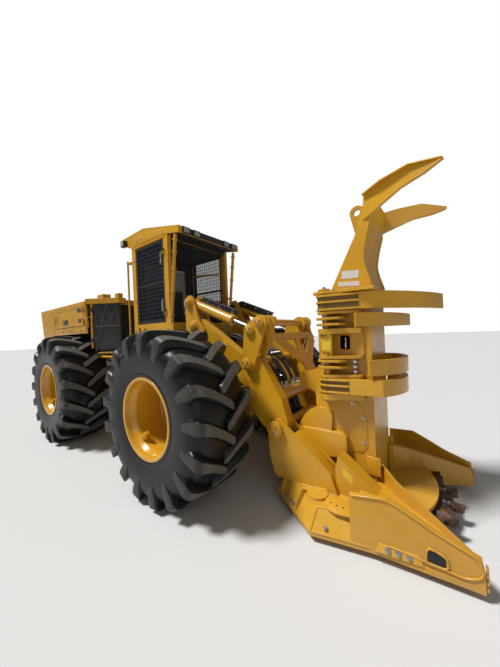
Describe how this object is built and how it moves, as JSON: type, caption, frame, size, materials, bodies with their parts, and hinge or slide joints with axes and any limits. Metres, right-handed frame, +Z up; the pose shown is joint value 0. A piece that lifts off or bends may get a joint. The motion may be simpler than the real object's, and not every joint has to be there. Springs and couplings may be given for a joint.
{
  "type": "wheeled feller buncher",
  "caption": "Articulated wheeled feller buncher with a mesh-sided cab, rear engine hood, lift boom with tilt linkage and a disc-saw felling head with gathering arms.",
  "frame": {"origin": "middle of the overall box on the ground", "axes": "+X forward to the felling head, +Y to the machine's left, +Z up"},
  "size_m": [7.51, 2.96, 3.4499],
  "materials": {
    "tyre": "matt black",
    "yellow_paint": "semi-gloss golden yellow",
    "black_paint": "satin black",
    "grey_metal": "dark grey",
    "saw_steel": "worn, slightly rusty",
    "rod_chrome": "polished",
    "window": "clear",
    "seat_fabric": "black"
  },
  "bodies": {
    "front": {"front_frame": "yellow_paint", "front_axle": "grey_metal", "cab_base": "yellow_paint", "cab_frame": "yellow_paint", "cab_roof": "yellow_paint", "front_lamps": "black_paint", "windshield": "window", "seat": "seat_fabric", "cab_rails": "black_paint"},
    "rear": {"rear_frame": "yellow_paint", "rear_axle": "grey_metal", "engine_block": "grey_metal", "rear_hood": "yellow_paint", "engine_bay": "yellow_paint", "exhaust_stack": "black_paint"},
    "lift_arms": {"lift_arms": "yellow_paint", "crank_shaft": "grey_metal", "head_shaft": "grey_metal"},
    "cranks": {"bell_crank_left": "yellow_paint", "bell_crank_right": "yellow_paint", "link_shaft": "grey_metal"},
    "tilt_link": {"tilt_link": "yellow_paint"},
    "head": {"head_base": "yellow_paint", "mast": "yellow_paint", "saw_motor_housing": "yellow_paint"},
    "disc": {"disc_saw": "saw_steel"},
    "rear_grille": {"rear_grille": "black_paint"},
    "wheel_front_left": {"tyre_front_left": "tyre", "rim_front_left": "yellow_paint"},
    "wheel_front_right": {"tyre_front_right": "tyre", "rim_front_right": "yellow_paint"},
    "wheel_rear_left": {"tyre_rear_left": "tyre", "rim_rear_left": "yellow_paint"},
    "wheel_rear_right": {"tyre_rear_right": "tyre", "rim_rear_right": "yellow_paint"},
    "cab_door_left": {"cab_door_left": "black_paint"},
    "hood_door_left": {"hood_door_left": "yellow_paint"},
    "mesh_door_left": {"mesh_door_left": "black_paint"},
    "lift_barrel_left": {"lift_barrel_left": "yellow_paint"},
    "lift_rod_left": {"lift_rod_left": "rod_chrome"},
    "tilt_guard_left": {"tilt_guard_left": "black_paint"},
    "tilt_barrel_left": {"tilt_barrel_left": "yellow_paint"},
    "tilt_piston_left": {"tilt_piston_left": "grey_metal"},
    "tilt_rod_left": {"tilt_rod_left": "rod_chrome"},
    "cab_door_right": {"cab_door_right": "black_paint"},
    "hood_door_right": {"hood_door_right": "yellow_paint"},
    "mesh_door_right": {"mesh_door_right": "black_paint"},
    "lift_barrel_right": {"lift_barrel_right": "yellow_paint"},
    "lift_rod_right": {"lift_rod_right": "rod_chrome"},
    "tilt_guard_right": {"tilt_guard_right": "black_paint"},
    "tilt_barrel_right": {"tilt_barrel_right": "yellow_paint"},
    "tilt_piston_right": {"tilt_piston_right": "grey_metal"},
    "tilt_rod_right": {"tilt_rod_right": "rod_chrome"},
    "gather_arm_upper_right": {"gather_arm_upper_right": "yellow_paint"},
    "gather_arm_upper_left": {"gather_arm_upper_left": "yellow_paint"},
    "gather_arm_lower_left": {"gather_arm_lower_left": "yellow_paint"},
    "gather_arm_lower_right": {"gather_arm_lower_right": "yellow_paint"}
  },
  "joints": [
    {"name": "articulation", "type": "hinge", "parent": "front", "child": "rear", "pos_m": [-0.42, 0, 0.965], "axis": [0, 0, 1], "range_deg": [-40, 40]},
    {"name": "wheel_front_right_spin", "type": "hinge", "parent": "front", "child": "wheel_front_right", "pos_m": [1.1, -1.1, 0.915], "axis": [0, 1, 0], "continuous": true},
    {"name": "wheel_front_left_spin", "type": "hinge", "parent": "front", "child": "wheel_front_left", "pos_m": [1.1, 1.1, 0.915], "axis": [0, 1, 0], "continuous": true},
    {"name": "wheel_rear_right_spin", "type": "hinge", "parent": "rear", "child": "wheel_rear_right", "pos_m": [-1.944, -1.1, 0.915], "axis": [0, 1, 0], "continuous": true},
    {"name": "wheel_rear_left_spin", "type": "hinge", "parent": "rear", "child": "wheel_rear_left", "pos_m": [-1.944, 1.1, 0.915], "axis": [0, 1, 0], "continuous": true},
    {"name": "cab_door_right_hinge", "type": "hinge", "parent": "front", "child": "cab_door_right", "pos_m": [0.372, -0.636, 2.535], "axis": [0, 0, -1], "range_deg": [-95, 0]},
    {"name": "hood_door_right_hinge", "type": "hinge", "parent": "rear", "child": "hood_door_right", "pos_m": [-1.388, -1.062, 2.235], "axis": [0, 0, -1], "range_deg": [-90, 0]},
    {"name": "mesh_door_right_hinge", "type": "hinge", "parent": "rear", "child": "mesh_door_right", "pos_m": [-1.285, -0.96, 2.035], "axis": [0, 0, 1], "range_deg": [-75, 0]},
    {"name": "cab_door_left_hinge", "type": "hinge", "parent": "front", "child": "cab_door_left", "pos_m": [0.372, 0.636, 2.535], "axis": [0, 0, -1], "range_deg": [0, 95]},
    {"name": "hood_door_left_hinge", "type": "hinge", "parent": "rear", "child": "hood_door_left", "pos_m": [-1.388, 1.062, 2.235], "axis": [0, 0, -1], "range_deg": [0, 90]},
    {"name": "mesh_door_left_hinge", "type": "hinge", "parent": "rear", "child": "mesh_door_left", "pos_m": [-1.285, 0.96, 2.035], "axis": [0, 0, 1], "range_deg": [0, 75]},
    {"name": "rear_grille_hinge", "type": "hinge", "parent": "rear", "child": "rear_grille", "pos_m": [-3.743, 0.812, 2.035], "axis": [0, 0, -1], "range_deg": [0, 100]},
    {"name": "boom_lift", "type": "hinge", "parent": "front", "child": "lift_arms", "pos_m": [0.887, 0, 1.869], "axis": [0, -1, 0], "range_deg": [0, 30]},
    {"name": "lift_barrel_right_pivot", "type": "hinge", "parent": "front", "child": "lift_barrel_right", "pos_m": [0.62, 0, 1.215], "axis": [0, -1, 0], "range_deg": [0, 24]},
    {"name": "lift_rod_right_slide", "type": "slide", "parent": "lift_barrel_right", "child": "lift_rod_right", "axis": [0.9935, 0, -0.1135], "range_m": [0, 0.34]},
    {"name": "tilt_guard_right_turn", "type": "hinge", "parent": "front", "child": "tilt_guard_right", "pos_m": [0.802, 0, 2.193], "axis": [0, -1, 0], "range_deg": [0, 27]},
    {"name": "tilt_barrel_right_pivot", "type": "hinge", "parent": "tilt_guard_right", "child": "tilt_barrel_right", "pos_m": [0.802, 0, 2.193], "axis": [0, -1, 0], "range_deg": [-4, 0]},
    {"name": "tilt_piston_right_slide", "type": "slide", "parent": "tilt_barrel_right", "child": "tilt_piston_right", "axis": [0.9303, 0, -0.3669], "range_m": [-0.165, 0]},
    {"name": "tilt_rod_right_slide", "type": "slide", "parent": "tilt_piston_right", "child": "tilt_rod_right", "axis": [0.9303, 0, -0.3669], "range_m": [-0.115, 0]},
    {"name": "lift_barrel_left_pivot", "type": "hinge", "parent": "front", "child": "lift_barrel_left", "pos_m": [0.62, 0, 1.215], "axis": [0, -1, 0], "range_deg": [0, 24]},
    {"name": "lift_rod_left_slide", "type": "slide", "parent": "lift_barrel_left", "child": "lift_rod_left", "axis": [0.9935, 0, -0.1135], "range_m": [0, 0.34]},
    {"name": "tilt_guard_left_turn", "type": "hinge", "parent": "front", "child": "tilt_guard_left", "pos_m": [0.802, 0, 2.193], "axis": [0, -1, 0], "range_deg": [0, 27]},
    {"name": "tilt_barrel_left_pivot", "type": "hinge", "parent": "tilt_guard_left", "child": "tilt_barrel_left", "pos_m": [0.802, 0, 2.193], "axis": [0, -1, 0], "range_deg": [-4, 0]},
    {"name": "tilt_piston_left_slide", "type": "slide", "parent": "tilt_barrel_left", "child": "tilt_piston_left", "axis": [0.9303, 0, -0.3669], "range_m": [-0.165, 0]},
    {"name": "tilt_rod_left_slide", "type": "slide", "parent": "tilt_piston_left", "child": "tilt_rod_left", "axis": [0.9303, 0, -0.3669], "range_m": [-0.115, 0]},
    {"name": "head_tilt", "type": "hinge", "parent": "lift_arms", "child": "head", "pos_m": [2.128, 0, 0.741], "axis": [0, -1, 0], "range_deg": [0, 20]},
    {"name": "crank_tilt", "type": "hinge", "parent": "lift_arms", "child": "cranks", "pos_m": [1.784, 0, 1.411], "axis": [0, -1, 0], "range_deg": [0, 20]},
    {"name": "link_tilt", "type": "hinge", "parent": "cranks", "child": "tilt_link", "pos_m": [1.97, 0, 1.866], "axis": [0, -1, 0], "range_deg": [-21, 0]},
    {"name": "disc_spin", "type": "hinge", "parent": "head", "child": "disc", "pos_m": [2.93, 0, 0.152], "axis": [0, 0, 1], "continuous": true},
    {"name": "gather_arm_upper_right_hinge", "type": "hinge", "parent": "head", "child": "gather_arm_upper_right", "pos_m": [2.645, -0.4, 1.635], "axis": [0, 0, -1], "range_deg": [0, 80]},
    {"name": "gather_arm_upper_left_hinge", "type": "hinge", "parent": "head", "child": "gather_arm_upper_left", "pos_m": [2.645, 0.4, 1.635], "axis": [0, 0, 1], "range_deg": [0, 80]},
    {"name": "gather_arm_lower_left_hinge", "type": "hinge", "parent": "head", "child": "gather_arm_lower_left", "pos_m": [2.645, 0.4, 1.635], "axis": [0, 0, 1], "range_deg": [0, 80]},
    {"name": "gather_arm_lower_right_hinge", "type": "hinge", "parent": "head", "child": "gather_arm_lower_right", "pos_m": [2.645, -0.4, 1.635], "axis": [0, 0, -1], "range_deg": [0, 80]}
  ],
  "couplings": [
    {"joint": "lift_barrel_right_pivot", "follows": "boom_lift", "ratio": 0.768},
    {"joint": "lift_rod_right_slide", "follows": "boom_lift", "m_per_rad": 0.635},
    {"joint": "tilt_guard_right_turn", "follows": "boom_lift", "ratio": 0.88},
    {"joint": "tilt_barrel_right_pivot", "follows": "head_tilt", "ratio": -0.17},
    {"joint": "tilt_piston_right_slide", "follows": "boom_lift", "m_per_rad": -0.307},
    {"joint": "tilt_rod_right_slide", "follows": "head_tilt", "m_per_rad": -0.322},
    {"joint": "lift_barrel_left_pivot", "follows": "boom_lift", "ratio": 0.768},
    {"joint": "lift_rod_left_slide", "follows": "boom_lift", "m_per_rad": 0.635},
    {"joint": "tilt_guard_left_turn", "follows": "boom_lift", "ratio": 0.88},
    {"joint": "tilt_barrel_left_pivot", "follows": "head_tilt", "ratio": -0.17},
    {"joint": "tilt_piston_left_slide", "follows": "boom_lift", "m_per_rad": -0.307},
    {"joint": "tilt_rod_left_slide", "follows": "head_tilt", "m_per_rad": -0.322},
    {"joint": "crank_tilt", "follows": "head_tilt", "ratio": 0.944},
    {"joint": "link_tilt", "follows": "head_tilt", "ratio": -0.998}
  ]
}
